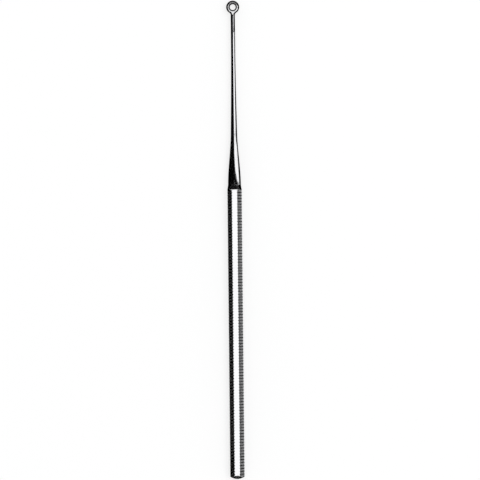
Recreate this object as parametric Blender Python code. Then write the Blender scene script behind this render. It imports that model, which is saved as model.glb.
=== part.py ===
"""Ring-ended ear curette, one piece of stainless steel, in metres with +Z up.

It lies on a plain flat of its octagonal handle, with the butt at -Y and the ring at +Y. It is one
skin. The skin is lofted from the butt to the neck as loops of points about the long axis. The
dished ring is its section carried round the bore, with a port left open on the neck's side, and
curved strands blend the neck into that port.
"""

import math

import bmesh
import bpy
from mathutils import Vector

# Handle: an octagonal bar with plain flats facing +X, +Z, -X and -Z, and ribbed flats between them
HANDLE_LENGTH = 0.0998
HANDLE_ACROSS_FLATS = 0.0050
BUTT_DOME_HEIGHT = 0.0010
RIB_PITCH = 0.00100
RIB_GROOVE_WIDTH = 0.00044
RIB_GROOVE_DEPTH = 0.00014
RIB_MARGIN = 0.00045

# Shoulder: the octagon's end is chamfered down to a short cone, which the flare runs into
CHAMFER_ANGLE = math.radians(40)
CHAMFER_STEP = 0.00003
CONE_LENGTH = 0.0016
CONE_STEP = 0.00026

# Shank, from the foot of the chamfer to the far edge of the ring
SHANK_LENGTH = 0.0652
FLARE_LENGTH = 0.0175
FLARE_BASE_SLOPE = -0.005
FLARE_TIP_DIAMETER = 0.00220
FLARE_TIP_SLOPE = -0.020
NECK_START_SLOPE = -0.006
NECK_LENGTH = 0.0140
NECK_DIAMETER = 0.00145
NECK_FILLET = 0.00090

# Ring: its plane holds the long axis, and its dished mouth faces +Z
RING_DIAMETER = 0.0045
RING_THICKNESS = 0.0012
RIM_WIDTH = 0.00080
RIM_ROUNDING = 0.00060
MOUTH_ROUNDING = 0.00008
DISH_WIDTH = 0.00045
THROAT_BELOW_AXIS = 0.00010
BACK_ROUNDING = 0.00034

# Fineness of the facets that stand for round surfaces
HANDLE_SIDES = 8
POINTS_PER_HALF_SIDE = 3
DOME_STEPS = 3
FLARE_STEPS = 14
TAPER_STEPS = 6
RING_STEPS = 46
RIM_STEPS = 5
DISH_STEPS = 2
BACK_STEPS = 3
BLEND_STEPS = 5

# What follows from the sizes above
SECTION_POINTS = 2 * POINTS_PER_HALF_SIDE * HANDLE_SIDES
PORT_STEPS = SECTION_POINTS // 2 - 2 * RIM_STEPS
SIDE_ANGLE = math.tau / HANDLE_SIDES
FLAT_REACH = HANDLE_ACROSS_FLATS / 2
CORNER_REACH = FLAT_REACH / math.cos(SIDE_ANGLE / 2)
COLLAR_RADIUS = FLAT_REACH - CHAMFER_STEP
FLARE_BASE_RADIUS = COLLAR_RADIUS - CONE_STEP
FLARE_TIP_RADIUS = FLARE_TIP_DIAMETER / 2
NECK_RADIUS = NECK_DIAMETER / 2
RING_RADIUS = RING_DIAMETER / 2
MOUTH_RADIUS = RING_RADIUS - RIM_WIDTH
THROAT_RADIUS = MOUTH_RADIUS - DISH_WIDTH
FILLET_X = NECK_RADIUS + NECK_FILLET
FILLET_BACK = math.sqrt((RING_RADIUS + NECK_FILLET) ** 2 - FILLET_X**2)
PORT_ANGLE = math.atan2(FILLET_X, FILLET_BACK)

# Places along the long axis, which lies in the plane x = 0
AXIS_HEIGHT = FLAT_REACH
OVERALL_LENGTH = HANDLE_LENGTH + SHANK_LENGTH
BUTT_Y = -OVERALL_LENGTH / 2
COLLAR_Y = BUTT_Y + HANDLE_LENGTH
FLARE_Y = COLLAR_Y + CONE_LENGTH
TAPER_Y = FLARE_Y + FLARE_LENGTH
RING_Y = OVERALL_LENGTH / 2 - RING_RADIUS
NECK_END_Y = RING_Y - FILLET_BACK
NECK_Y = NECK_END_Y - NECK_LENGTH
CORNERS_START_Y = BUTT_Y + BUTT_DOME_HEIGHT
CORNERS_END_Y = COLLAR_Y - (CORNER_REACH - COLLAR_RADIUS) / math.tan(CHAMFER_ANGLE)

STEEL_COLOUR = (0.62, 0.62, 0.63, 1.0)
STEEL_ROUGHNESS = 0.18


def clear_scene():
    """Removes the objects that a new file starts with."""
    for thing in list(bpy.data.objects):
        bpy.data.objects.remove(thing, do_unlink=True)


def axis_point(reach, angle, y):
    """A point at a distance from the long axis, at an angle about it from +X towards +Z."""
    return Vector((reach * math.cos(angle), y, AXIS_HEIGHT + reach * math.sin(angle)))


def section_angles():
    """The angles about the long axis of a full loop's points, the octagon's corners among them."""
    return [math.tau * i / SECTION_POINTS for i in range(SECTION_POINTS)]


def octagon_reach(angle):
    """Distance from the long axis to the handle's plain surface at an angle."""
    from_flat = (angle + SIDE_ANGLE / 2) % SIDE_ANGLE - SIDE_ANGLE / 2
    return FLAT_REACH / math.cos(from_flat)


def round_loop(y, radius):
    """A full loop of a turned section."""
    return [axis_point(radius, angle, y) for angle in section_angles()]


def dome_y(reach):
    """Place along the axis of the butt's dome, a part of a ball that the corners end on."""
    ball = (CORNER_REACH**2 + BUTT_DOME_HEIGHT**2) / (2 * BUTT_DOME_HEIGHT)
    return BUTT_Y + ball - math.sqrt(ball**2 - reach**2)


def chamfer_y(reach):
    """Place along the axis of the shoulder's chamfer."""
    return COLLAR_Y - (reach - COLLAR_RADIUS) / math.tan(CHAMFER_ANGLE)


def scalloped_loop(cut_y):
    """A full loop where a turned cut, given as a function of reach, meets the octagon's flats."""
    reaches = [(octagon_reach(angle), angle) for angle in section_angles()]
    return [axis_point(reach, angle, cut_y(reach)) for reach, angle in reaches]


def corner_loop(y, groove_depth):
    """The octagon's eight corners, with the ribbed flats sunk by groove_depth."""
    loop = []
    for side in range(HANDLE_SIDES):
        here, there = SIDE_ANGLE * side, SIDE_ANGLE * (side + 1)
        reach_here = FLAT_REACH - groove_depth * (side % 2)
        reach_there = FLAT_REACH - groove_depth * ((side + 1) % 2)
        spread = math.sin(there - here)
        x = (reach_here * math.sin(there) - reach_there * math.sin(here)) / spread
        z = (reach_there * math.cos(here) - reach_here * math.cos(there)) / spread
        loop.append(Vector((x, y, AXIS_HEIGHT + z)))
    return loop


def rib_loops():
    """The ribbed stretch: two edges and a bottom for each V groove, spread evenly."""
    room = CORNERS_END_Y - CORNERS_START_Y - 2 * RIB_MARGIN
    gaps = int((room - RIB_GROOVE_WIDTH) / RIB_PITCH)
    start = (CORNERS_START_Y + CORNERS_END_Y - gaps * RIB_PITCH - RIB_GROOVE_WIDTH) / 2
    loops = []
    for groove in range(gaps + 1):
        y = start + groove * RIB_PITCH
        loops.append(corner_loop(y, 0.0))
        loops.append(corner_loop(y + RIB_GROOVE_WIDTH / 2, RIB_GROOVE_DEPTH))
        loops.append(corner_loop(y + RIB_GROOVE_WIDTH, 0.0))
    return loops


def cubic(share, start, end, start_pull, end_pull):
    """The cubic curve that leaves start along start_pull and reaches end along end_pull."""
    s2, s3 = share**2, share**3
    return (
        start * (2 * s3 - 3 * s2 + 1)
        + start_pull * (s3 - 2 * s2 + share)
        + end * (3 * s2 - 2 * s3)
        + end_pull * (s3 - s2)
    )


def turned_loops(start_y, length, start, end, start_slope, end_slope, steps):
    """Loops along a turned stretch whose radius and slope are given at both its ends."""
    loops = []
    for step in range(steps + 1):
        share = step / steps
        radius = cubic(share, start, end, start_slope * length, end_slope * length)
        loops.append(round_loop(start_y + share * length, radius))
    return loops


def shank_loops():
    """The turned shank: the flare, the slow taper and the straight neck."""
    flare = turned_loops(
        FLARE_Y,
        FLARE_LENGTH,
        FLARE_BASE_RADIUS,
        FLARE_TIP_RADIUS,
        FLARE_BASE_SLOPE,
        FLARE_TIP_SLOPE,
        FLARE_STEPS,
    )
    taper = turned_loops(
        TAPER_Y,
        NECK_Y - TAPER_Y,
        FLARE_TIP_RADIUS,
        NECK_RADIUS,
        FLARE_TIP_SLOPE,
        NECK_START_SLOPE,
        TAPER_STEPS,
    )
    return flare + taper[1:] + [round_loop(NECK_END_Y, NECK_RADIUS)]


def rim_size():
    """Half thickness of the ring, and the rim's rounding, which its width limits."""
    return RING_THICKNESS / 2, min(RIM_ROUNDING, 0.85 * RIM_WIDTH)


def rim_point(row):
    """Distance from the bore's axis and height of a row of the rim, row 0 being the widest."""
    half, rounding = rim_size()
    turn = math.pi / 2 * row / RIM_STEPS
    return RING_RADIUS - rounding * (1 - math.cos(turn)), half * math.sin(turn)


def rim_direction(row):
    """Direction (outwards, upwards) along the rim's section at a row, towards row 0."""
    half, rounding = rim_size()
    turn = math.pi / 2 * row / RIM_STEPS
    side = -1 if row > 0 else 1
    return -side * rounding * math.sin(turn), side * half * math.cos(turn)


def bore_points():
    """The rest of the ring's section, from its top inwards, down the dish and out along its back."""
    half, rounding = rim_size()
    lip = min(MOUTH_ROUNDING, 0.3 * (RIM_WIDTH - rounding))
    points = [(MOUTH_RADIUS + lip, half)]
    for step in range(DISH_STEPS + 1):
        share = step / DISH_STEPS
        height = (half - lip) * (1 - share) - THROAT_BELOW_AXIS * share
        points.append((MOUTH_RADIUS - DISH_WIDTH * share, height))
    drop = half - THROAT_BELOW_AXIS
    for step in range(1, BACK_STEPS + 1):
        turn = math.pi / 2 * step / BACK_STEPS
        out = THROAT_RADIUS + BACK_ROUNDING * (1 - math.cos(turn))
        points.append((out, -THROAT_BELOW_AXIS - drop * math.sin(turn)))
    return points


def ring_place(angle, out, height):
    """A point of the ring. The angle is about the bore's axis, from -Y towards +X."""
    return Vector(
        (out * math.sin(angle), RING_Y - out * math.cos(angle), AXIS_HEIGHT + height)
    )


def column_angles():
    """Angles of the ring's columns: evenly over the port from +X to -X, then on round the ring."""
    port = [PORT_ANGLE * (1 - 2 * i / PORT_STEPS) for i in range(PORT_STEPS + 1)]
    around = math.tau - 2 * PORT_ANGLE
    return port + [-PORT_ANGLE - around * i / RING_STEPS for i in range(1, RING_STEPS)]


def port_places():
    """(column, row) of each point round the port, in the order of a full loop about the neck."""
    up = [(0, row) for row in range(RIM_STEPS)]
    over = [(column, RIM_STEPS) for column in range(PORT_STEPS)]
    down = [(PORT_STEPS, row) for row in range(RIM_STEPS, -RIM_STEPS, -1)]
    under = [(column, -RIM_STEPS) for column in range(PORT_STEPS, 0, -1)]
    last = [(0, row) for row in range(-RIM_STEPS, 0)]
    return up + over + down + under + last


class Skin:
    """One closed skin, built loop by loop."""

    def __init__(self):
        self.bm = bmesh.new()
        self.last = []

    def add_loop(self, points):
        """Adds a loop of points and joins it to the one before it."""
        loop = [self.bm.verts.new(point) for point in points]
        if self.last:
            self.join(self.last, loop)
        self.last = loop

    def join(self, first, second):
        """Faces between two loops. A loop of corners alone meets a full loop along whole flats."""
        count = min(len(first), len(second))
        for side in range(count):
            here = side_points(first, side, count)
            there = side_points(second, side, count)
            self.bm.faces.new(here + there[::-1])

    def close(self, point):
        """Closes the loop just added with a fan of faces to one point."""
        tip = self.bm.verts.new(point)
        for side in range(len(self.last)):
            self.bm.faces.new([tip] + side_points(self.last, side, len(self.last)))

    def add_ring_end(self):
        """Adds the dished ring with its open port, and joins it to the neck's last loop."""
        section = [rim_point(row) for row in range(RIM_STEPS + 1)]
        section += bore_points()
        section += [rim_point(row) for row in range(-RIM_STEPS, 0)]
        angles = column_angles()
        grid = {}
        for column, angle in enumerate(angles):
            for place, (out, height) in enumerate(section):
                row = place if place <= RIM_STEPS else place - len(section)
                if column in range(1, PORT_STEPS) and abs(row) < RIM_STEPS:
                    continue
                grid[column, place] = self.bm.verts.new(ring_place(angle, out, height))
        for column in range(len(angles)):
            across = (column + 1) % len(angles)
            for place in range(len(section)):
                beyond = (place + 1) % len(section)
                on_rim = place < RIM_STEPS or place >= len(section) - RIM_STEPS
                if column < PORT_STEPS and on_rim:
                    continue
                self.bm.faces.new(
                    [
                        grid[column, place],
                        grid[across, place],
                        grid[across, beyond],
                        grid[column, beyond],
                    ]
                )
        port = [grid[column, row % len(section)] for column, row in port_places()]
        self.blend_into(port, angles)

    def blend_into(self, port, angles):
        """Joins the last loop to the port by strands that leave both without a kink."""
        ends = [vertex.co.copy() for vertex in self.last]
        strands = []
        for end, start, place, turn in zip(ends, port, port_places(), section_angles()):
            column, row = place
            out, up = rim_direction(row)
            angle = angles[column]
            along = Vector((out * math.sin(angle), -out * math.cos(angle), up))
            around = Vector((math.cos(angle), math.sin(angle), 0.0))
            away = along.normalized() * abs(math.sin(turn)) - around * math.cos(turn)
            strands.append((start.co.copy(), end, away.normalized()))
        for step in range(1, BLEND_STEPS):
            share = 1 - step / BLEND_STEPS
            self.add_loop([strand_point(share, *strand) for strand in strands])
        self.join(self.last, port)


def side_points(loop, side, count):
    """The loop's points along one side of count, a full loop's side running corner to corner."""
    per_side = len(loop) // count
    first = side * per_side + per_side // 2
    return [loop[(first + step) % len(loop)] for step in range(per_side + 1)]


def strand_point(share, start, end, away):
    """A point on the curve that leaves the ring along away and joins the neck, close to an arc."""
    back = Vector((0.0, -1.0, 0.0))
    pull = (end - start).length / math.cos(away.angle(back) / 4) ** 2
    return cubic(share, start, end, away * pull, back * pull)


def build_skin():
    """The whole curette as one closed skin."""
    skin = Skin()
    for step in range(1, DOME_STEPS + 1):
        reach = FLAT_REACH * step / (DOME_STEPS + 1)
        skin.add_loop(round_loop(dome_y(reach), reach))
        if step == 1:
            skin.close(Vector((0.0, BUTT_Y, AXIS_HEIGHT)))
    skin.add_loop(scalloped_loop(dome_y))
    for loop in rib_loops():
        skin.add_loop(loop)
    skin.add_loop(scalloped_loop(chamfer_y))
    skin.add_loop(round_loop(COLLAR_Y, COLLAR_RADIUS))
    for loop in shank_loops():
        skin.add_loop(loop)
    skin.add_ring_end()
    bmesh.ops.recalc_face_normals(skin.bm, faces=skin.bm.faces)
    return skin.bm


def steel():
    """Polished stainless steel."""
    material = bpy.data.materials.new("polished_stainless_steel")
    material.use_nodes = True
    shader = material.node_tree.nodes["Principled BSDF"]
    shader.inputs["Base Color"].default_value = STEEL_COLOUR
    shader.inputs["Metallic"].default_value = 1.0
    shader.inputs["Roughness"].default_value = STEEL_ROUGHNESS
    return material


def main():
    """Clears the scene and models the curette."""
    clear_scene()
    mesh = bpy.data.meshes.new("ear_curette")
    bm = build_skin()
    bm.to_mesh(mesh)
    bm.free()
    mesh.shade_smooth()
    mesh.set_sharp_from_angle(angle=math.radians(20))
    mesh.materials.append(steel())
    curette = bpy.data.objects.new("ear_curette", mesh)
    bpy.context.scene.collection.objects.link(curette)


main()
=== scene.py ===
"""Looks of a ring-ended ear curette: its fine skin, its polished steel, and the studio around it.

The curette is one piece of stainless steel that lies along Y on a plain flat of its octagonal
handle, with the butt at -Y and the ring at +Y. Lengths are in metres in the frame's own axes.
"""

import logging
import math
from dataclasses import dataclass, field
from enum import Enum
from typing import Any

import bpy
import numpy as np
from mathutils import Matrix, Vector
from numpy.typing import NDArray


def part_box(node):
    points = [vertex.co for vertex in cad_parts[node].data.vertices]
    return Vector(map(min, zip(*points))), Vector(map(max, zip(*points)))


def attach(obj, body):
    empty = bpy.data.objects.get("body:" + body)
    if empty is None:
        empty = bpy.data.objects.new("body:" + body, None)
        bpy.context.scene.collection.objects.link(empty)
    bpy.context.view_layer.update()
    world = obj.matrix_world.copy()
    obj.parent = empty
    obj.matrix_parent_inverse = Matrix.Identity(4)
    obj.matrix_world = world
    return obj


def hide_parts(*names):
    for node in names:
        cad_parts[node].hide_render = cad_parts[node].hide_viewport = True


Array = NDArray[np.float64]
Numbers = NDArray[np.int64]
Colour = tuple[float, float, float, float]
Pair = tuple[float, float]
Triple = tuple[float, float, float]
Edge = float | tuple[float, ...]
Amount = float | Array

LOG = logging.getLogger("ear_curette")
NODE = "ear_curette"
BODY = "root"

# The floor is lifted towards white where it is seen directly, in the steel or through glass.
SEEN_RAYS = ("Is Camera Ray", "Is Glossy Ray", "Is Transmission Ray")

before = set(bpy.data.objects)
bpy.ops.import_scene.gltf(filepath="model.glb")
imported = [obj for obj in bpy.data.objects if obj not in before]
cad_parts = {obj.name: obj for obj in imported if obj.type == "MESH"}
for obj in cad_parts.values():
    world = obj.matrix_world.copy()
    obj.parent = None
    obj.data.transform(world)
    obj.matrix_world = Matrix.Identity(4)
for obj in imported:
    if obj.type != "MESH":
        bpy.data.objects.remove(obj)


class Ray(Enum):
    """The kinds of ray that a lamp or card can be seen by."""

    CAMERA = "visible_camera"
    DIFFUSE = "visible_diffuse"
    GLOSSY = "visible_glossy"
    TRANSMISSION = "visible_transmission"
    SHADOW = "visible_shadow"


class Trait(Enum):
    """The measures that each point of the skin carries for its finish and painted groove shade."""

    GROOVE = "groove_depth"
    TURNED = "turned_share"


@dataclass
class Sizes:
    """Outer sizes of the curette, read from the frame."""

    low: Vector
    high: Vector

    @property
    def across_flats(self) -> float:
        """Width of the octagonal handle from flat to flat."""
        return self.high.x - self.low.x

    @property
    def axis_height(self) -> float:
        """Height of the long axis above the surface that the handle lies on."""
        return (self.low.z + self.high.z) / 2

    @property
    def butt_y(self) -> float:
        """Place of the butt's apex along the long axis."""
        return self.low.y

    @property
    def tip_y(self) -> float:
        """Place of the ring's far edge along the long axis."""
        return self.high.y

    @property
    def length(self) -> float:
        """Overall length from the butt to the ring's far edge."""
        return self.tip_y - self.butt_y


def spread(start: Any, end: Any, steps: int, first: int = 0) -> Array:
    """Values from start to end in even steps, on a new first axis, from the one numbered first on."""
    return np.linspace(start, end, steps + 1)[first:]


def hermite(share: Amount, start: Any, end: Any, start_pull: Any, end_pull: Any) -> Amount:
    """Cubic that leaves start along start_pull and reaches end along end_pull.

    Args:
        share: How far along the cubic each value is, from 0 to 1.
        start: Value at share 0.
        end: Value at share 1.
        start_pull: Rate of change at share 0.
        end_pull: Rate of change at share 1.

    Returns:
        The cubic's values, in the inputs' common shape.
    """
    s2, s3 = share**2, share**3
    return (
        start * (2 * s3 - 3 * s2 + 1)
        + start_pull * (s3 - 2 * s2 + share)
        + end * (3 * s2 - 2 * s3)
        + end_pull * (s3 - s2)
    )


def bend(start: Array, corner: Array, end: Array, steps: int) -> Array:
    """Quadratic curve that rounds a corner: (1-t)^2 start + 2t(1-t) corner + t^2 end."""
    t = np.linspace(0, 1, steps + 1).reshape(-1, *([1] * np.ndim(start)))
    return (1 - t) ** 2 * start + 2 * t * (1 - t) * corner + t**2 * end


def linked(name: str, data: bpy.types.ID) -> bpy.types.Object:
    """Makes an object that stands at the origin, and links it to the scene.

    Args:
        name: The object's name.
        data: Its mesh, lamp or camera.

    Returns:
        The new object.
    """
    made = bpy.data.objects.new(name, data)
    bpy.context.scene.collection.objects.link(made)
    return made


@dataclass
class Skin:
    """A closed skin in the making: points, their finish measures, and faces as point numbers."""

    points: list[Array] = field(default_factory=list)
    traits: dict[Trait, list[Array]] = field(default_factory=lambda: {t: [] for t in Trait})
    faces: list[Numbers] = field(default_factory=list)
    count: int = 0

    def add_points(self, points: Array, groove: Any = 0.0, turned: Any = 0.0) -> Numbers:
        """Adds points of any grid shape.

        Args:
            points: Places, with x, y and z on the last axis.
            groove: Share of the full groove depth, as a number or an array of the grid's shape.
            turned: Share of turned finish, as a number or an array of the grid's shape.

        Returns:
            The points' numbers, in the grid's shape.
        """
        shape = points.shape[:-1]
        numbers = self.count + np.arange(math.prod(shape)).reshape(shape)
        self.points.append(points.reshape(-1, 3))
        self.traits[Trait.GROOVE].append(np.broadcast_to(groove, shape).ravel())
        self.traits[Trait.TURNED].append(np.broadcast_to(turned, shape).ravel())
        self.count += numbers.size
        return numbers

    def add_tube(self, rings: Numbers) -> None:
        """Joins each row of point numbers to the next, all the way round.

        Args:
            rings: Numbers with one closed loop in each row.
        """
        across = np.roll(rings, -1, axis=1)
        quads = [rings[:-1], rings[1:], across[1:], across[:-1]]
        self.faces.append(np.stack(quads, axis=-1).reshape(-1, 4))

    def add_fan(self, tip: Numbers, ring: Numbers) -> None:
        """Closes a loop with triangles to one point, which lies before it along the tube."""
        tips = np.broadcast_to(tip, ring.shape)
        self.faces.append(np.stack([tips, ring, np.roll(ring, -1)], axis=-1))

    def build(self, name: str) -> bpy.types.Object:
        """Makes the mesh object, with the finish measures as attributes and smooth normals.

        Args:
            name: The object's name.

        Returns:
            The new object.
        """
        points = np.concatenate(self.points)
        faces = [face for block in self.faces for face in block.tolist()]
        mesh = bpy.data.meshes.new(name)
        mesh.from_pydata(points.tolist(), [], faces)
        for trait, values in self.traits.items():
            layer = mesh.attributes.new(trait.value, "FLOAT", "POINT")
            layer.data.foreach_set("value", np.concatenate(values).astype(np.float32))
        mesh.shade_smooth()
        mesh.normals_split_custom_set_from_vertices(self.normals(points))
        mesh.update()
        return linked(name, mesh)

    def normals(self, points: Array) -> Array:
        """Normals at the points: the sum of the faces' normals, each times its area squared.

        Large flat faces outweigh the narrow ones that round their edges, so flats look flat. A
        face's normal is the cross product of a quad's diagonals, or of the two sides that meet
        at a triangle's last corner.

        Args:
            points: The places of all points.

        Returns:
            Unit normals, one row for each point.
        """
        total = np.zeros_like(points)
        for block in self.faces:
            corners = points[block]
            normal = np.cross(corners[:, 2] - corners[:, 0], corners[:, -1] - corners[:, 1])
            normal *= np.linalg.norm(normal, axis=1, keepdims=True)
            np.add.at(total, block.ravel(), np.repeat(normal, block.shape[1], axis=0))
        return total / np.linalg.norm(total, axis=1, keepdims=True)


@dataclass
class Octagon:
    """The handle's section: eight flats with narrow rounded edges, the odd flats ribbed.

    A loop runs about the long axis from +X towards +Z. Each edge has its arc's points, and each
    flat has the points between two arcs.
    """

    across_flats: float
    axis_height: float
    edge_radius: float = 0.00040
    sides: int = 8
    arc_points: int = 5
    flat_points: int = 5

    @property
    def reach(self) -> float:
        """Distance from the long axis to a flat."""
        return self.across_flats / 2

    @property
    def corner_reach(self) -> float:
        """Distance from the long axis to where two flats would meet in a sharp edge."""
        return self.reach / math.cos(math.pi / self.sides)

    @property
    def size(self) -> int:
        """Number of points in a loop."""
        return self.sides * (self.arc_points + self.flat_points)

    def outline(self, depths: Array) -> Array:
        """Loops of (x, z) about the long axis, one for each sinking of the ribbed flats.

        An edge's arc is centred where the two flats, moved inwards by the edge radius, meet. A
        flat's points are spaced evenly between the ends of its two arcs.

        Args:
            depths: How deep the odd flats are sunk in each loop.

        Returns:
            An array of loops by points by two.
        """
        side = np.arange(self.sides)
        turn = math.tau / self.sides
        here, there = turn * side, turn * (side + 1)
        sunk = self.reach - self.edge_radius - depths[:, None] * (side % 2)
        sunk_next = self.reach - self.edge_radius - depths[:, None] * ((side + 1) % 2)
        x = (sunk * np.sin(there) - sunk_next * np.sin(here)) / math.sin(turn)
        z = (sunk_next * np.cos(here) - sunk * np.cos(there)) / math.sin(turn)
        centre = np.stack([x, z], axis=-1)[:, :, None]
        angle = here[:, None] + turn * spread(0, 1, self.arc_points - 1)
        arcs = centre + self.edge_radius * np.stack([np.cos(angle), np.sin(angle)], axis=-1)
        start, end = arcs[:, :, -1:], np.roll(arcs[:, :, :1], -1, axis=1)
        share = spread(0, 1, self.flat_points + 1)[1:-1, None]
        flats = start * (1 - share) + end * share
        loops = np.concatenate([arcs, flats], axis=2).reshape(len(depths), self.size, 2)
        return np.roll(loops, self.flat_points // 2 + 1, axis=1)

    def ribbed(self) -> Array:
        """How far each point of a loop is part of a ribbed flat.

        Returns:
            Shares from 0 to 1, which fade over the middle half of each arc.
        """
        ribbed_next = ((np.arange(self.sides) + 1) % 2)[:, None]
        share = spread(0, 1, self.arc_points - 1)
        arcs = np.clip(2 * np.where(ribbed_next > 0, share, 1 - share) - 0.5, 0, 1)
        flats = np.broadcast_to(ribbed_next, (self.sides, self.flat_points))
        return np.roll(np.concatenate([arcs, flats], axis=1).ravel(), self.flat_points // 2 + 1)

    def plain(self) -> Array:
        """The loop of (x, z) where no flat is sunk."""
        return self.outline(np.zeros(1))[0]

    def reaches(self) -> Array:
        """Distance from the long axis to each point of the plain loop."""
        return np.linalg.norm(self.plain(), axis=1)

    def angles(self) -> Array:
        """Angle about the long axis of each point of the plain loop, from +X towards +Z."""
        plain = self.plain()
        return np.unwrap(np.arctan2(plain[:, 1], plain[:, 0]))

    def even_angles(self) -> Array:
        """Angles of as many points spread evenly about the long axis."""
        return math.tau * np.arange(self.size) / self.size

    def place(self, reach: Array, y: Array, angles: Array) -> Array:
        """Points at a reach from the long axis, at a place along it and an angle about it.

        Args:
            reach: Distances from the long axis.
            y: Places along the long axis.
            angles: Angles about the long axis, from +X towards +Z.

        Returns:
            Points, with x, y and z on the last axis.
        """
        reach, y, angles = np.broadcast_arrays(reach, y, angles)
        x, z = reach * np.cos(angles), reach * np.sin(angles)
        return np.stack([x, y, self.axis_height + z], axis=-1)


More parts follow.
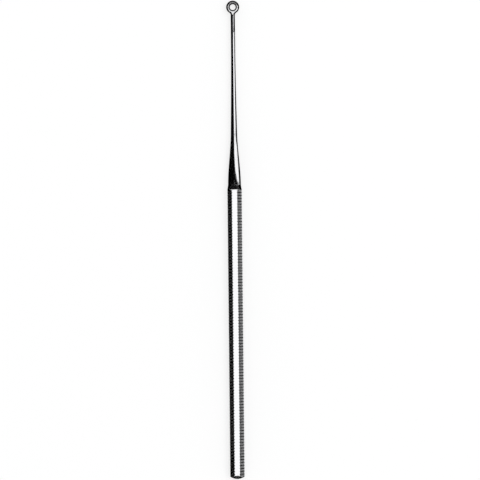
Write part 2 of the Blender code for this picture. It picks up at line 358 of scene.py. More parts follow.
@dataclass
class Handle:
    """The octagonal handle with its domed butt, its ribs and its chamfered end."""

    octagon: Octagon
    butt_y: float
    length: float = 0.0998
    dome_height: float = 0.0010
    butt_rounding: float = 0.00006
    rib_pitch: float = 0.00100
    groove_width: float = 0.00044
    groove_depth: float = 0.00014
    rib_margin: float = 0.00045
    shoulder_rounding: float = 0.15
    bottom_rounding: float = 0.20
    chamfer_angle: float = math.radians(40)
    chamfer_step: float = 0.00003
    edge_rounding: float = 0.00005
    longest_edge_share: float = 0.4
    dome_steps: int = 12
    edge_steps: int = 4

    @property
    def collar_y(self) -> float:
        """Place of the foot of the chamfer."""
        return self.butt_y + self.length

    @property
    def collar_radius(self) -> float:
        """Radius at the foot of the chamfer."""
        return self.octagon.reach - self.chamfer_step

    @property
    def ball_radius(self) -> float:
        """Radius of the ball that the butt's dome is part of, through the handle's corners."""
        corner = self.octagon.corner_reach
        return (corner**2 + self.dome_height**2) / (2 * self.dome_height)

    def dome_y(self, reach: Array) -> Array:
        """Place of the dome at a reach from the long axis."""
        return self.butt_y + self.ball_radius - np.sqrt(self.ball_radius**2 - reach**2)

    def chamfer_y(self, reach: Amount) -> Amount:
        """Place of the chamfer at a reach from the long axis."""
        return self.collar_y - (reach - self.collar_radius) / math.tan(self.chamfer_angle)

    def groove_share(self, u: Array) -> Array:
        """Depth across a groove, from u = -1 at one edge to 1 at the other, as a share.

        The groove is a V, 1 - |u|. A parabola takes the place of the kink at each edge, as wide
        as shoulder_rounding to both sides of it, and of the kink at the bottom.

        Args:
            u: Places across the groove.

        Returns:
            Shares of the full depth.
        """
        c, b = self.shoulder_rounding, self.bottom_rounding
        off = np.abs(u)
        edge = np.clip(1 + c - off, 0, None) ** 2 / (4 * c)
        share = np.where(off > 1 - c, edge, 1 - off)
        return np.where(off < b, 1 - b / 2 - u**2 / (2 * b), share)

    def rib_stations(self) -> tuple[Array, Array]:
        """Works out where the ribs' loops lie: seven to a groove, at its edges and its bottom.

        Returns:
            The loops' places along the long axis, and their shares of the groove's depth.
        """
        corner = self.octagon.corner_reach
        low = self.butt_y + self.dome_height
        high = self.chamfer_y(corner)
        room = high - low - 2 * self.rib_margin
        gaps = int((room - self.groove_width) / self.rib_pitch)
        start = (low + high - gaps * self.rib_pitch) / 2
        c, b = self.shoulder_rounding, self.bottom_rounding
        u = np.array([-1 - c, -1 + c, -b, 0, b, 1 - c, 1 + c])
        centres = start + self.rib_pitch * np.arange(gaps + 1)
        y = centres[:, None] + self.groove_width / 2 * u
        return y.ravel(), np.tile(self.groove_share(u), gaps + 1)

    def strands(self, path: Array) -> Array:
        """Points of a strand of (y, reach) at each angle of the plain loop, a loop to a step."""
        return self.octagon.place(path[..., 1], path[..., 0], self.octagon.angles())

    def add_dome(self, skin: Skin) -> Numbers:
        """Adds the butt: a ball's cap, then a rounded edge where the flats cut it.

        Each strand leaves the apex along the ball, y = butt + R - sqrt(R^2 - r^2), up to the
        rounding's start, and a quadratic curve then turns it on to its flat.

        Args:
            skin: The skin to add to.

        Returns:
            The numbers of the loops' points, the one nearest the handle last.
        """
        reaches = self.octagon.reaches()
        inner = reaches - self.butt_rounding
        cap_reach = inner * spread(0, 1, self.dome_steps, first=1)[:, None]
        cap = np.stack([self.dome_y(cap_reach), cap_reach], axis=-1)
        slope = inner / np.sqrt(self.ball_radius**2 - inner**2)
        turn_y = self.dome_y(inner) + slope * self.butt_rounding
        corner = np.stack([turn_y, reaches], axis=-1)
        end = np.stack([turn_y + self.butt_rounding, reaches], axis=-1)
        edge = bend(cap[-1], corner, end, self.edge_steps)[1:]
        tip = skin.add_points(np.array([[0.0, self.butt_y, self.octagon.axis_height]]), turned=1.0)
        fade = np.concatenate([np.ones(len(cap)), spread(1, 0, self.edge_steps, first=1)])
        rings = skin.add_points(self.strands(np.concatenate([cap, edge])), turned=fade[:, None])
        skin.add_fan(tip, rings[0])
        return rings

    def add_ribs(self, skin: Skin) -> Numbers:
        """Adds the loops of the ribbed stretch, whose grooves lie in the odd flats only.

        Args:
            skin: The skin to add to.

        Returns:
            The numbers of the loops' points.
        """
        y, share = self.rib_stations()
        outline = self.octagon.outline(share * self.groove_depth)
        y = np.broadcast_to(y[:, None], outline.shape[:2])
        points = np.stack([outline[..., 0], y, self.octagon.axis_height + outline[..., 1]], axis=-1)
        return skin.add_points(points, groove=share[:, None] * self.octagon.ribbed())

    def add_shoulder(self, skin: Skin, cone_slope: float) -> Numbers:
        """Adds the rounded scalloped edge, the chamfer and the rounded collar.

        A strand's edge is where its flat meets the turned chamfer. Both roundings are quadratic
        curves, and none is longer than its share of the chamfer there.

        Args:
            skin: The skin to add to.
            cone_slope: Change of radius along the cone beyond the collar, below zero.

        Returns:
            The numbers of the loops' points.
        """
        reaches = self.octagon.reaches()
        run = (reaches - self.collar_radius) / math.sin(self.chamfer_angle)
        step = np.minimum(self.edge_rounding, self.longest_edge_share * run)[:, None]
        down = np.array([math.cos(self.chamfer_angle), -math.sin(self.chamfer_angle)])
        edge = np.stack([self.chamfer_y(reaches), reaches], axis=-1)
        collar = np.broadcast_to([self.collar_y, self.collar_radius], edge.shape)
        along_flat, along_cone = np.array([1.0, 0.0]), np.array([1.0, cone_slope])
        first = bend(edge - step * along_flat, edge, edge + step * down, self.edge_steps)
        second = bend(collar - step * down, collar, collar + step * along_cone, self.edge_steps)
        fade = np.concatenate([spread(0, 1, self.edge_steps), np.ones(len(second))])
        return skin.add_points(self.strands(np.concatenate([first, second])), turned=fade[:, None])


@dataclass
class Shank:
    """The turned shank: a short cone, a concave flare, a slow taper and a straight neck."""

    octagon: Octagon
    collar_y: float
    collar_radius: float
    neck_end_y: float
    neck_radius: float
    cone_length: float = 0.0016
    cone_step: float = 0.00026
    collar_gap: float = 0.00020
    foot_rounding: float = 0.00004
    flare_length: float = 0.0175
    flare_base_slope: float = -0.005
    flare_tip_diameter: float = 0.00220
    flare_tip_slope: float = -0.020
    neck_start_slope: float = -0.006
    neck_length: float = 0.0140
    cone_steps: int = 3
    flare_steps: int = 36
    taper_steps: int = 30
    neck_steps: int = 14
    foot_steps: int = 6

    @property
    def cone_slope(self) -> float:
        """Change of radius along the cone."""
        return -self.cone_step / self.cone_length

    def flare_radius(self, share: Amount) -> Amount:
        """Radius along the flare, a cubic between its two radii and slopes.

        Args:
            share: How far along the flare, from 0 at the cone to 1 at the taper.

        Returns:
            The radius there.
        """
        base = self.collar_radius - self.cone_step
        pulls = self.flare_base_slope * self.flare_length, self.flare_tip_slope * self.flare_length
        return hermite(share, base, self.flare_tip_diameter / 2, *pulls)

    def profile(self) -> Array:
        """Works out the shank's stations, as rows of (y, radius).

        The cone is straight, and starts a gap past the collar's rounding. A quadratic curve
        rounds its foot into the flare, whose radius is a cubic, and so is the taper's. The neck
        is straight.

        Returns:
            The stations, from the cone to the neck's end.
        """
        foot_y = self.collar_y + self.cone_length
        flare_y, neck_y = foot_y + self.flare_length, self.neck_end_y - self.neck_length
        back = self.foot_rounding
        base = self.collar_radius - self.cone_step
        on_cone = np.array([foot_y - back, base - self.cone_slope * back])
        on_flare = np.array([foot_y + back, self.flare_radius(back / self.flare_length)])
        gap = self.collar_gap
        cone_start = np.array([self.collar_y + gap, self.collar_radius + self.cone_slope * gap])
        cone = spread(cone_start, on_cone, self.cone_steps)[:-1]
        foot = bend(on_cone, np.array([foot_y, base]), on_flare, self.foot_steps)
        share = spread(back / self.flare_length, 1, self.flare_steps, first=1)
        flare = np.stack([foot_y + share * self.flare_length, self.flare_radius(share)], axis=-1)
        share = spread(0, 1, self.taper_steps, first=1)
        run = neck_y - flare_y
        pulls = self.flare_tip_slope * run, self.neck_start_slope * run
        radius = hermite(share, self.flare_tip_diameter / 2, self.neck_radius, *pulls)
        taper = np.stack([flare_y + share * run, radius], axis=-1)
        neck_start, neck_end = (neck_y, self.neck_radius), (self.neck_end_y, self.neck_radius)
        neck = spread(neck_start, neck_end, self.neck_steps, first=1)
        return np.concatenate([cone, foot, flare, taper, neck])

    def add_to(self, skin: Skin) -> Numbers:
        """Adds the shank's loops: each profile station carried round the long axis.

        The points' angles glide from the octagon's own at the collar to even ones at the
        flare's far end, by a smooth step.

        Args:
            skin: The skin to add to.

        Returns:
            The numbers of the loops' points.
        """
        stations = self.profile()
        y, radius = stations[:, :1], stations[:, 1:]
        share = np.clip((y - self.collar_y) / (self.cone_length + self.flare_length), 0, 1)
        glide = share**2 * (3 - 2 * share)
        angles = self.octagon.angles() * (1 - glide) + self.octagon.even_angles() * glide
        return skin.add_points(self.octagon.place(radius, y, angles), turned=1.0)


@dataclass
class RingEnd:
    """The dished ring with its bore, and the smooth joint between it and the neck."""

    octagon: Octagon
    tip_y: float
    neck_radius: float
    diameter: float = 0.0045
    thickness: float = 0.0012
    rim_width: float = 0.00080
    rim_rounding: float = 0.00066
    dish_width: float = 0.00045
    throat_below_axis: float = 0.00010
    back_rounding: float = 0.00034
    lip_rounding: float = 0.00007
    throat_rounding: float = 0.00006
    neck_fillet: float = 0.00090
    rim_steps: int = 8
    back_steps: int = 6
    dish_steps: int = 4
    edge_steps: int = 5
    ring_steps: int = 110
    blend_steps: int = 14

    @property
    def radius(self) -> float:
        """Outer radius of the ring."""
        return self.diameter / 2

    @property
    def half(self) -> float:
        """Half the ring's thickness."""
        return self.thickness / 2

    @property
    def centre_y(self) -> float:
        """Place of the bore's axis."""
        return self.tip_y - self.radius

    @property
    def port_steps(self) -> int:
        """Columns of the ring that the neck's joint takes up."""
        return self.octagon.size // 2 - 2 * self.rim_steps

    @property
    def fillet_x(self) -> float:
        """Distance from the long axis to the centre of the fillet between neck and ring."""
        return self.neck_radius + self.neck_fillet

    @property
    def fillet_back(self) -> float:
        """Distance from the bore's axis back to the end of the neck, where the fillet starts."""
        return math.sqrt((self.radius + self.neck_fillet) ** 2 - self.fillet_x**2)

    @property
    def neck_end_y(self) -> float:
        """Place of the end of the straight neck."""
        return self.centre_y - self.fillet_back

    def rim(self, rows: Array) -> Array:
        """The rim's outer curve, a quarter round above and below the ring's widest row.

        Args:
            rows: Row numbers, from -rim_steps at the back to rim_steps at the top.

        Returns:
            Rows of (distance from the bore's axis, height).
        """
        turn = math.pi / 2 * rows / self.rim_steps
        out = self.radius - self.rim_rounding * (1 - np.cos(turn))
        return np.stack([out, self.half * np.sin(turn)], axis=-1)

    def rim_direction(self, rows: Array) -> Array:
        """Directions along the rim's curve towards its widest row: the curve's rates of change.

        Args:
            rows: Row numbers, as for the rim.

        Returns:
            Unit rows of (outwards, upwards).
        """
        turn = math.pi / 2 * rows / self.rim_steps
        side = np.where(rows > 0, -1.0, 1.0)
        out, up = -side * self.rim_rounding * np.sin(turn), side * self.half * np.cos(turn)
        return np.stack([out, up], axis=-1) / np.hypot(out, up)[:, None]

    def bore(self) -> Array:
        """The rest of the section: over the lip, down the dish, and out along the back.

        The dish is a straight slope between a rounded lip and a rounded throat, and the back is
        a quarter of an ellipse.

        Returns:
            Rows of (distance from the bore's axis, height).
        """
        mouth = self.radius - self.rim_width
        throat = mouth - self.dish_width
        lip_corner = np.array([mouth, self.half])
        throat_corner = np.array([throat, -self.throat_below_axis])
        slope = throat_corner - lip_corner
        slope /= np.linalg.norm(slope)
        outwards, upwards = np.array([1.0, 0.0]), np.array([0.0, 1.0])
        lip_start = lip_corner + self.lip_rounding * outwards
        lip = bend(lip_start, lip_corner, lip_corner + self.lip_rounding * slope, self.edge_steps)
        throat_start = throat_corner - self.throat_rounding * slope
        throat_end = throat_corner - self.throat_rounding * upwards
        dish = spread(lip[-1], throat_start, self.dish_steps)[1:-1]
        edge = bend(throat_start, throat_corner, throat_end, self.edge_steps)
        turn = spread(0, math.pi / 2, self.back_steps, first=1)
        drop = self.half + throat_end[1]
        out = throat + self.back_rounding * (1 - np.cos(turn))
        back = np.stack([out, throat_end[1] - drop * np.sin(turn)], axis=-1)
        return np.concatenate([lip, dish, edge, back])

    def section(self) -> Array:
        """The ring's closed section from its widest row up, over, through the bore and back."""
        upper = self.rim(np.arange(self.rim_steps + 1))
        return np.concatenate([upper, self.bore(), self.rim(np.arange(-self.rim_steps, 0))])

    def column_angles(self) -> Array:
        """Works out the columns of the ring: even ones across the port, then on round.

        Returns:
            Angles about the bore's axis, from -Y towards +X.
        """
        port_angle = math.atan2(self.fillet_x, self.fillet_back)
        port = spread(port_angle, -port_angle, self.port_steps)
        rest = spread(-port_angle, port_angle - math.tau, self.ring_steps)[1:-1]
        return np.concatenate([port, rest])

    def port_places(self) -> tuple[Numbers, Numbers]:
        """Goes round the port in the order of a loop on the neck.

        Returns:
            The columns of the points there, and their rows.
        """
        rows, columns = self.rim_steps, self.port_steps
        up, across = np.arange(rows), np.arange(columns)
        first, last = np.zeros_like(up), np.full_like(up, columns)
        top = np.full_like(across, rows)
        column = [first, across, last, last, columns - across, first]
        row = [up, top, rows - up, -up, -top, up - rows]
        return np.concatenate(column), np.concatenate(row)

    def add_to(self, skin: Skin, neck: Numbers) -> None:
        """Adds the ring and joins the neck's last loop to it.

        The ring is its section carried about the bore's axis, (r sin a, centre - r cos a), on a
        grid of columns by places. The port's inner points and faces are left out of the grid.

        Args:
            skin: The skin to add to.
            neck: The numbers of the neck's last loop.
        """
        section, angles = self.section(), self.column_angles()
        columns, places = np.arange(len(angles))[:, None], np.arange(len(section))[None, :]
        out, height = section[None, :, 0], section[None, :, 1]
        x, y = out * np.sin(angles[:, None]), self.centre_y - out * np.cos(angles[:, None])
        z = np.broadcast_to(self.octagon.axis_height + height, x.shape)
        grid = np.stack([x, y, z], axis=-1)
        rows = np.where(places > len(section) // 2, places - len(section), places)
        hidden = (columns > 0) & (columns < self.port_steps) & (np.abs(rows) < self.rim_steps)
        numbers = np.full(hidden.shape, -1)
        numbers[~hidden] = skin.add_points(grid[~hidden])
        across, beyond = np.roll(numbers, -1, axis=0), np.roll(numbers, -1, axis=1)
        corner = np.roll(across, -1, axis=1)
        quads = np.stack([numbers, beyond, corner, across], axis=-1)
        on_rim = (rows >= -self.rim_steps) & (rows < self.rim_steps)
        open_port = (columns < self.port_steps) & on_rim
        skin.faces.append(quads[~open_port])
        self.add_blend(skin, neck, numbers, grid)

    def add_blend(self, skin: Skin, neck: Numbers, numbers: Numbers, grid: Array) -> None:
        """Joins the neck to the port by strands that leave both without a kink.

        Each strand is a cubic. It starts on the neck along +Y and reaches the port along the
        ring's own surface, turning from the rim's curve at the sides to the ring's round at
        the top and the back. Its pulls are its chord over the squared cosine of a quarter of
        its turn, as in a round arc.

        Args:
            skin: The skin to add to.
            neck: The numbers of the neck's last loop.
            numbers: The numbers of the ring's points, by column and place.
            grid: The places of the ring's points, by column and place.
        """
        column, row = self.port_places()
        port = grid[column, row]
        start = np.concatenate(skin.points)[neck]
        turn = self.octagon.even_angles()[:, None]
        angle = self.column_angles()[column][:, None]
        out, up = np.split(self.rim_direction(row), 2, axis=1)
        along = np.concatenate([out * np.sin(angle), -out * np.cos(angle), up], axis=1)
        around = np.concatenate([np.cos(angle), np.sin(angle), 0 * angle], axis=1)
        away = along * np.abs(np.sin(turn)) - around * np.cos(turn)
        away /= np.linalg.norm(away, axis=1, keepdims=True)
        between = np.arccos(np.clip(-away[:, 1:2], -1, 1))
        pull = np.linalg.norm(start - port, axis=1, keepdims=True) / np.cos(between / 4) ** 2
        share = spread(0, 1, self.blend_steps)[1:-1, None, None]
        forward = np.array([0.0, 1.0, 0.0])
        strands = hermite(share, start, port, forward * pull, -away * pull)
        fade = spread(1, 0, self.blend_steps)[1:-1, None]
        rings = skin.add_points(strands, turned=fade)
        skin.add_tube(np.concatenate([neck[None], rings, numbers[column, row][None]]))


class Socket:
    """A shader value, so that sums and products of values add their Math nodes."""

    def __init__(self, shader: "Shader", link: bpy.types.NodeSocket) -> None:
        """Keeps the shader that the value belongs to, and its output socket."""
        self.shader = shader
        self.link = link

    def math(self, operation: str, *others: Any) -> "Socket":
        """Adds a Math node of this value and others."""
        return self.shader.node("ShaderNodeMath", {"operation": operation}, [self, *others])

    def __add__(self, other: Any) -> "Socket":
        """This value plus another."""
        return self.math("ADD", other)

    def __sub__(self, other: Any) -> "Socket":
        """This value less another."""
        return self.math("SUBTRACT", other)

    def __rsub__(self, other: float) -> "Socket":
        """A number less this value."""
        return self.shader.node("ShaderNodeMath", {"operation": "SUBTRACT"}, [other, self])

    def __mul__(self, other: Any) -> "Socket":
        """This value times another."""
        return self.math("MULTIPLY", other)

    __radd__, __rmul__ = __add__, __mul__


@dataclass
class Shader:
    """A material's or world's node tree in the making."""

    tree: bpy.types.NodeTree

    def fill(self, node: bpy.types.Node, sockets: Any) -> None:
        """Fills inputs of a node.

        Args:
            node: The node.
            sockets: Values or links for its inputs, by name or, as a list, in their order.
        """
        pairs = sockets.items() if isinstance(sockets, dict) else enumerate(sockets)
        for key, value in pairs:
            if isinstance(value, Socket):
                self.tree.links.new(value.link, node.inputs[key])
            else:
                node.inputs[key].default_value = value

    def node(self, kind: str, settings: dict[str, Any], sockets: Any, output: Any = 0) -> Socket:
        """Adds a node.

        Args:
            kind: The node's type.
            settings: Its own settings, which are set first.
            sockets: Values or links for its inputs, as for fill.
            output: Which of its outputs to give, by name or number.

        Returns:
            The chosen output.
        """
        made = self.tree.nodes.new(kind)
        for name, value in settings.items():
            setattr(made, name, value)
        self.fill(made, sockets)
        return Socket(self, made.outputs[output])

    def mix_colour(self, share: Socket, first: Colour, second: Colour) -> Socket:
        """A colour from first at share 0 to second at share 1."""
        # The node has several sockets of each name, so they go by number.
        return self.node("ShaderNodeMix", {"data_type": "RGBA"}, {0: share, 6: first, 7: second}, output=2)

    def noise(self, scales: Triple, detail: float = 2.0) -> Socket:
        """Noise from 0 to 1 on the object's own coordinates.

        Args:
            scales: How many features there are in a metre along X, Y and Z.
            detail: How many finer layers the noise has.

        Returns:
            The noise.
        """
        place = self.node("ShaderNodeTexCoord", {}, {}, output="Object")
        stretched = self.node("ShaderNodeMapping", {}, {"Vector": place, "Scale": scales})
        inputs = {"Vector": stretched, "Scale": 1.0, "Detail": detail}
        return self.node("ShaderNodeTexNoise", {}, inputs)

    def attribute(self, trait: Trait) -> Socket:
        """A finish measure that the mesh carries."""
        return self.node("ShaderNodeAttribute", {"attribute_name": trait.value}, {}, output="Fac")


def bare_material(name: str) -> tuple[bpy.types.Material, Shader]:
    """Makes a material whose output waits for a surface.

    Args:
        name: The material's name.

    Returns:
        The material and its shader.
    """
    made = bpy.data.materials.new(name)
    made.use_nodes = True
    made.node_tree.nodes.remove(made.node_tree.nodes["Principled BSDF"])
    return made, Shader(made.node_tree)


@dataclass(frozen=True)
class PolishedSteel:
    """Mirror-polished stainless steel, finely lined, with satin grooves in painted shade.

    The handle's flats are lined along their length, the turned parts round about. Scales are
    how many features a noise has in a metre along X, Y and Z. The satin roughness and the
    grooves' near-black colour, which is painted shade, come in between two shares of the
    groove's depth.
    """

    polished: Colour = (0.66, 0.66, 0.67, 1.0)
    # Near-black base colour for the grooves: painted shade in place of the shade that falls in them.
    groove_painted_shade: Colour = (0.016, 0.016, 0.017, 1.0)
    polished_roughness: float = 0.07
    satin_roughness: float = 0.38
    satin_and_shade_starts: float = 0.02
    satin_and_shade_full: float = 0.20
    roughness_range: float = 0.035
    cloud_share: float = 0.6
    cloud_scales: Triple = (420.0, 420.0, 420.0)
    lengthways_scales: Triple = (14000.0, 500.0, 14000.0)
    round_scales: Triple = (300.0, 16000.0, 300.0)
    line_detail: float = 3.0
    line_depth: float = 0.0000004

    def material(self) -> bpy.types.Material:
        """Makes the material, whose gloss varies a little in clouds and along its lines.

        Returns:
            The material.
        """
        steel = bpy.data.materials.new("polished_stainless_steel")
        steel.use_nodes = True
        shader = Shader(steel.node_tree)
        groove, turned = shader.attribute(Trait.GROOVE), shader.attribute(Trait.TURNED)
        lengthways = shader.noise(self.lengthways_scales, self.line_detail)
        round_about = shader.noise(self.round_scales, self.line_detail)
        cloud = shader.noise(self.cloud_scales)
        lines = lengthways + turned * (round_about - lengthways)
        # Share of satin roughness and of painted groove shade, rising with the groove's depth.
        depth = shader.node(
            "ShaderNodeMapRange",
            {"interpolation_type": "SMOOTHSTEP"},
            {"Value": groove, "From Min": self.satin_and_shade_starts, "From Max": self.satin_and_shade_full},
        )
        unevenness = cloud * self.cloud_share + lines * (1 - self.cloud_share)
        roughness = self.polished_roughness + self.roughness_range * unevenness
        roughness = roughness + depth * (self.satin_roughness - self.polished_roughness)
        relief = {"Strength": 1.0, "Distance": self.line_depth, "Height": lines}
        shader.fill(
            steel.node_tree.nodes["Principled BSDF"],
            {
                # The base colour goes near black in the grooves: painted shade.
                "Base Color": shader.mix_colour(depth, self.polished, self.groove_painted_shade),
                "Metallic": 1.0,
                "Roughness": roughness,
                "Normal": shader.node("ShaderNodeBump", {}, relief),
            },
        )
        return steel


@dataclass
class Curette:
    """The whole instrument, one skin from the butt to the ring."""

    sizes: Sizes
    neck_diameter: float = 0.00145
    finish: PolishedSteel = field(default_factory=PolishedSteel)

    def __post_init__(self) -> None:
        """Works out the parts' sizes and places from the frame's."""
        octagon = Octagon(self.sizes.across_flats, self.sizes.axis_height)
        neck_radius = self.neck_diameter / 2
        self.handle = Handle(octagon, self.sizes.butt_y)
        self.ring = RingEnd(octagon, self.sizes.tip_y, neck_radius)
        self.shank = Shank(
            octagon, self.handle.collar_y, self.handle.collar_radius, self.ring.neck_end_y, neck_radius
        )

    def build(self) -> bpy.types.Object:
        """Builds the skin as one closed mesh.

        Returns:
            The curette's object.
        """
        skin = Skin()
        loops = [
            self.handle.add_dome(skin),
            self.handle.add_ribs(skin),
            self.handle.add_shoulder(skin, self.shank.cone_slope),
            self.shank.add_to(skin),
        ]
        tube = np.concatenate(loops)
        skin.add_tube(tube)
        self.ring.add_to(skin, tube[-1])
        return skin.build("ear_curette_polished")

    def dress(self, piece: bpy.types.Object) -> None:
        """Gives the curette its steel and its place in the frame.

        Args:
            piece: The curette's object.
        """
        piece.data.materials.append(self.finish.material())
        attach(piece, BODY)
        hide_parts(NODE)


def sheet(name: str, grid: Array) -> bpy.types.Object:
    """Makes a staging object from a two-parameter grid of points.

    Args:
        name: The object's name.
        grid: The points, with the two parameters on the first axes and x, y, z on the last.

    Returns:
        The new object.
    """
    rows, columns = grid.shape[:2]
    numbers = np.arange(rows * columns).reshape(rows, columns)
    sides = [numbers[:-1, :-1], numbers[1:, :-1], numbers[1:, 1:], numbers[:-1, 1:]]
    mesh = bpy.data.meshes.new(name)
    mesh.from_pydata(grid.reshape(-1, 3).tolist(), [], np.stack(sides, axis=-1).reshape(-1, 4).tolist())
    made = linked(name, mesh)
    return made


def seen_only_by(thing: bpy.types.Object, *kinds: Ray) -> None:
    """Lets only the named kinds of ray see a staging object."""
    for kind in Ray:
        setattr(thing, kind.value, kind in kinds)


@dataclass(frozen=True)
class Card:
    """A softbox, or a black card at strength 0, that only the steel's reflections see."""

    name: str
    strength: float = 0.0

    def grid(self) -> Array:
        """The card's points on a two-parameter grid."""
        raise NotImplementedError

    def build(self) -> None:
        """Builds the card, glowing at its strength."""
        glow, shader = bare_material(self.name)
        light = shader.node("ShaderNodeEmission", {}, {"Strength": self.strength})
        shader.fill(shader.tree.nodes["Material Output"], {"Surface": light})
        card = sheet(self.name, self.grid())
        card.data.materials.append(glow)
        seen_only_by(card, Ray.GLOSSY)


@dataclass(frozen=True)
class ArchCard(Card):
    """A card bent about the Y axis, like a strip of an arch over the curette.

    An edge is the y that it has all along, or at each given turn.
    """

    radius: float = 0.80
    turns: tuple[float, ...] = (-90.0, 90.0)
    near: Edge = -0.25
    far: Edge = 0.45
    steps: int = 32

    def grid(self) -> Array:
        """Points (R sin t, y, R cos t), for a turn t from the zenith towards +X.

        Returns:
            A row of two points for each turn, on edges that run straight between given turns.
        """
        degrees = spread(self.turns[0], self.turns[-1], self.steps)
        edges = (np.broadcast_to(edge, len(self.turns)) for edge in (self.near, self.far))
        near, far = (np.interp(degrees, self.turns, edge) for edge in edges)
        turn = np.radians(degrees)[:, None]
        x, z = self.radius * np.sin(turn), self.radius * np.cos(turn)
        return np.stack(np.broadcast_arrays(x, np.stack([near, far], axis=1), z), axis=-1)


@dataclass(frozen=True)
class LevelCard(Card):
    """A level card at a height, by default just off the floor.

    An edge is the y that it has all along, or at the card's left and right sides.
    """

    x: Pair = (0.0, 1.0)
    near: Edge = 0.0
    far: Edge = 1.0
    z: float = 0.00005

    def grid(self) -> Array:
        """Points (x, y, z) at the sides and edges.

        Returns:
            The four corners, x along the first axis and y along the second.
        """
        x, near, far = np.broadcast_arrays(self.x, self.near, self.far)
        y = np.stack([near, far], axis=1)
        return np.stack(np.broadcast_arrays(x[:, None], y, self.z), axis=-1)


@dataclass(frozen=True)
class UprightCard(Card):
    """An upright card along the Y axis, standing on the floor."""

    x: float = 0.0
    y: Pair = (0.0, 1.0)
    height: float = 0.01

    def grid(self) -> Array:
        """The four corners, y along the first axis and z along the second."""
        y, z = np.meshgrid(self.y, (0.0, self.height), indexing="ij")
        return np.stack([np.full_like(y, self.x), y, z], axis=-1)


@dataclass(frozen=True)
class TurnedCard(Card):
    """A card turned about an upright axis at the ring, such as a disc or a collar."""

    centre_y: float = 0.0
    radii: Pair = (0.0, 0.01)
    heights: Pair = (0.01, 0.01)
    reach: float = 180.0
    limits: Pair = (-1.0, 1.0)
    steps: int = 36

    def grid(self) -> Array:
        """Points (R sin a, centre + R cos a, z), for an angle a from +Y towards +X.

        Returns:
            A row of two points for each angle, whose y stays between the limits.
        """
        angle = np.radians(spread(-self.reach, self.reach, self.steps))[:, None]
        x, y = self.radii * np.sin(angle), self.centre_y + self.radii * np.cos(angle)
        return np.stack(np.broadcast_arrays(x, np.clip(y, *self.limits), self.heights), axis=-1)


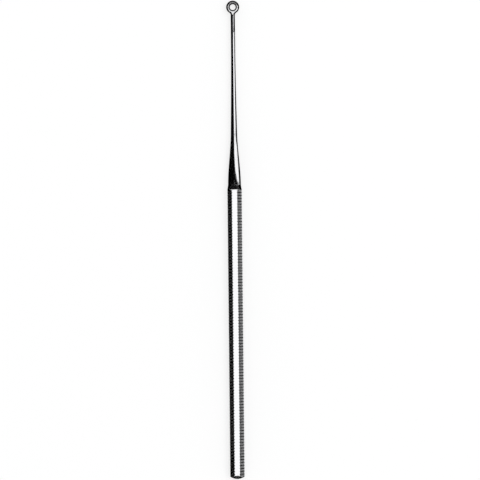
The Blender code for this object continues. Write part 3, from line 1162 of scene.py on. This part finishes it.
@dataclass
class Studio:
    """A plain pale floor under even light, with softboxes and black cards round about.

    The cards give the steel its tones as seen from above: a white upper flat, a black left side,
    a grey ladder of ribs at the right, a highlight on the shank's right side, and dark bands at
    the shoulder and the butt. The large ones form an arch and lie as mats on the floor. The small
    ones hang close over the shoulder, the neck, the ring and the butt, where a tone has to end
    sharply.
    """

    sizes: Sizes
    curette: Curette
    floor_half: float = 3.0
    floor_colour: Colour = (0.90, 0.90, 0.90, 1.0)
    floor_white: float = 0.96
    floor_lift: float = 0.70
    horizon: float = 0.95
    zenith: float = 0.60
    lamp_power: float = 45.0
    lamp_size: float = 2.6
    lamp_place: Triple = (0.5, 0.3, 2.6)
    softbox_glow: float = 1.48
    ladder_glow: float = 0.14
    ring_glow: float = 1.20
    outer_reach: float = 0.85
    outer_near_y: float = -0.25
    mats_right_x: float = 0.022
    ladder_end_y: float = 0.042
    neck_box_z: float = 0.0525
    neck_boxes_meet_y: float = 0.072

    def build(self) -> None:
        """Builds the floor, the world, the lamp and the cards."""
        self.build_floor()
        self.build_world()
        self.build_lamp()
        for card in self.cards():
            card.build()

    def build_floor(self) -> None:
        """Builds the floor, a matt pale sheet that is lifted towards white by the rays that see it."""
        half = self.floor_half
        floor = sheet("floor", LevelCard("floor", x=(-half, half), near=-half, far=half, z=0.0).grid())
        paint, shader = bare_material("pale_floor")
        camera, glossy, through = (
            shader.node("ShaderNodeLightPath", {}, {}, output=ray) for ray in SEEN_RAYS
        )
        seen = camera + glossy + through
        matt = shader.node("ShaderNodeBsdfDiffuse", {}, {"Color": self.floor_colour})
        white = shader.node("ShaderNodeEmission", {}, {"Strength": self.floor_white})
        both = shader.node("ShaderNodeMixShader", {}, [seen * self.floor_lift, matt, white])
        shader.fill(shader.tree.nodes["Material Output"], {"Surface": both})
        floor.data.materials.append(paint)

    def build_world(self) -> None:
        """Sets a world that is pale at the horizon and greyer overhead."""
        world = bpy.data.worlds.new("pale_world")
        bpy.context.scene.world = world
        world.use_nodes = True
        shader = Shader(world.node_tree)
        direction = shader.node("ShaderNodeTexCoord", {}, {}, output="Generated")
        up = shader.node("ShaderNodeSeparateXYZ", {}, {"Vector": direction}, output="Z")
        level = shader.node("ShaderNodeClamp", {}, {"Value": up})
        strength = self.horizon - level * (self.horizon - self.zenith)
        white = (1.0, 1.0, 1.0, 1.0)
        shader.fill(world.node_tree.nodes["Background"], {"Color": white, "Strength": strength})

    def build_lamp(self) -> None:
        """Builds a broad lamp overhead, a little to the right, for a soft shadow."""
        light = bpy.data.lights.new("broad_lamp", "AREA")
        light.shape, light.size, light.energy = "DISK", self.lamp_size, self.lamp_power
        lamp = linked("broad_lamp", light)
        lamp.location = self.lamp_place
        lamp.rotation_euler = (-lamp.location).to_track_quat("-Z", "Y").to_euler()
        seen_only_by(lamp, Ray.DIFFUSE, Ray.SHADOW)

    def cards(self) -> list[Card]:
        """Lists the cards that stand round the curette.

        Returns:
            The softboxes, and the black arch, flags, collar and mats.
        """
        ring_y = self.curette.ring.centre_y
        foot_y = self.curette.handle.collar_y
        butt_y = self.sizes.butt_y
        box, meet_y, right_x = self.softbox_glow, self.neck_boxes_meet_y, self.mats_right_x
        outer, near_y = self.outer_reach, self.outer_near_y
        return [
            ArchCard(
                "flat_softbox", box, turns=(-22, -8, 8, 20), near=-0.20, far=(0.004, 0.022, 0.022, 0.004)
            ),
            LevelCard(
                "flat_end_softbox", box, x=(-0.0061, 0.0055), near=-0.006, far=foot_y + 0.0009, z=0.020
            ),
            ArchCard(
                "shank_softbox",
                box,
                turns=(6, 14, 27, 40, 50, 62, 80, 88),
                near=(0.202, 0.182, 0.135, 0.108, 0.088, 0.068, 0.054, 0.050),
                far=(0.205, 0.205, 0.202, 0.200, 0.195, 0.190, 0.180, 0.170),
            ),
            ArchCard("ladder_card", self.ladder_glow, turns=(84, 90), near=near_y, far=self.ladder_end_y),
            ArchCard(
                "black_arch",
                radius=outer,
                turns=(-90, -60, -40, 0, 40, 60, 90),
                near=-0.20,
                far=(0.28, 0.33, 0.36, 0.40, 0.36, 0.33, 0.28),
            ),
            LevelCard(
                "neck_softbox", box, x=(0.004, 0.052), near=(0.0385, 0.0428), far=meet_y, z=self.neck_box_z
            ),
            LevelCard("neck_end_softbox", box, x=(0.010, 0.060), near=meet_y, far=0.0810, z=self.neck_box_z),
            UprightCard("neck_flag", x=0.030, y=(0.037, 0.078), height=0.0165),
            TurnedCard(
                "ring_softbox",
                self.ring_glow,
                centre_y=ring_y + 0.0006,
                radii=(0.0, 0.0039),
                heights=(0.0105, 0.0105),
                limits=(0.0789, ring_y + 0.0016),
            ),
            TurnedCard(
                "ring_collar", centre_y=ring_y, radii=(0.009, 0.009), heights=(0.0, 0.014), reach=158.0
            ),
            LevelCard("ladder_mat", x=(0.30, outer), near=near_y, far=self.ladder_end_y),
            LevelCard("butt_flag", x=(-0.0030, 0.0030), near=butt_y - 0.0050, far=butt_y + 0.00095, z=0.0090),
            LevelCard("left_mat", x=(-outer, -0.0164), near=near_y, far=foot_y),
            LevelCard("shank_mat", x=(-outer, right_x), near=foot_y, far=0.10),
            LevelCard("cone_mat", x=(right_x, outer), near=(0.0185, 0.200), far=(0.027, 0.290)),
            LevelCard("butt_mat", x=(-0.03, right_x), near=butt_y - 0.030, far=butt_y + 0.0005),
        ]


@dataclass
class CatalogueCamera:
    """A long lens that looks straight down, so that the curette fills the picture's height.

    The two pixels are where the ring's far edge and the butt's apex lie in the picture.
    """

    sizes: Sizes
    picture: float = 480.0
    ring_top_pixel: Pair = (232.6, 0.6)
    butt_pixel: Pair = (237.5, 478.9)
    distance: float = 1.0

    def build(self) -> None:
        """Builds the camera from where the ring's top and the butt's apex show in the picture.

        The line between the two pixels gives the scale and the roll, and the picture's centre
        then lies at a known offset from the curette's middle.
        """
        across = self.butt_pixel[0] - self.ring_top_pixel[0]
        down = self.butt_pixel[1] - self.ring_top_pixel[1]
        scale = self.sizes.length / math.hypot(across, down)
        roll = -math.atan2(across, down)
        right = scale * (self.picture / 2 - (self.ring_top_pixel[0] + self.butt_pixel[0]) / 2)
        up = scale * ((self.ring_top_pixel[1] + self.butt_pixel[1]) / 2 - self.picture / 2)
        middle_y = (self.sizes.butt_y + self.sizes.tip_y) / 2
        lens = bpy.data.cameras.new("catalogue_camera")
        lens.lens = lens.sensor_width * self.distance / (scale * self.picture)
        camera = linked("catalogue_camera", lens)
        camera.location = (
            right * math.cos(roll) - up * math.sin(roll),
            middle_y + right * math.sin(roll) + up * math.cos(roll),
            self.sizes.axis_height + self.distance,
        )
        camera.rotation_euler = (0.0, 0.0, roll)
        bpy.context.scene.camera = camera


def main() -> None:
    """Builds the curette, the studio and the camera."""
    logging.basicConfig(level=logging.INFO, format="%(name)s: %(message)s")
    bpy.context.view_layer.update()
    sizes = Sizes(*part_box(NODE))
    curette = Curette(sizes)
    piece = curette.build()
    curette.dress(piece)
    LOG.info("%s has %d points and %d faces", piece.name, len(piece.data.vertices), len(piece.data.polygons))
    Studio(sizes, curette).build()
    LOG.info("the studio stands")
    CatalogueCamera(sizes).build()
    LOG.info("the camera looks straight down")
    bpy.context.scene.view_settings.view_transform = "Standard"


if __name__ == "__main__":
    main()
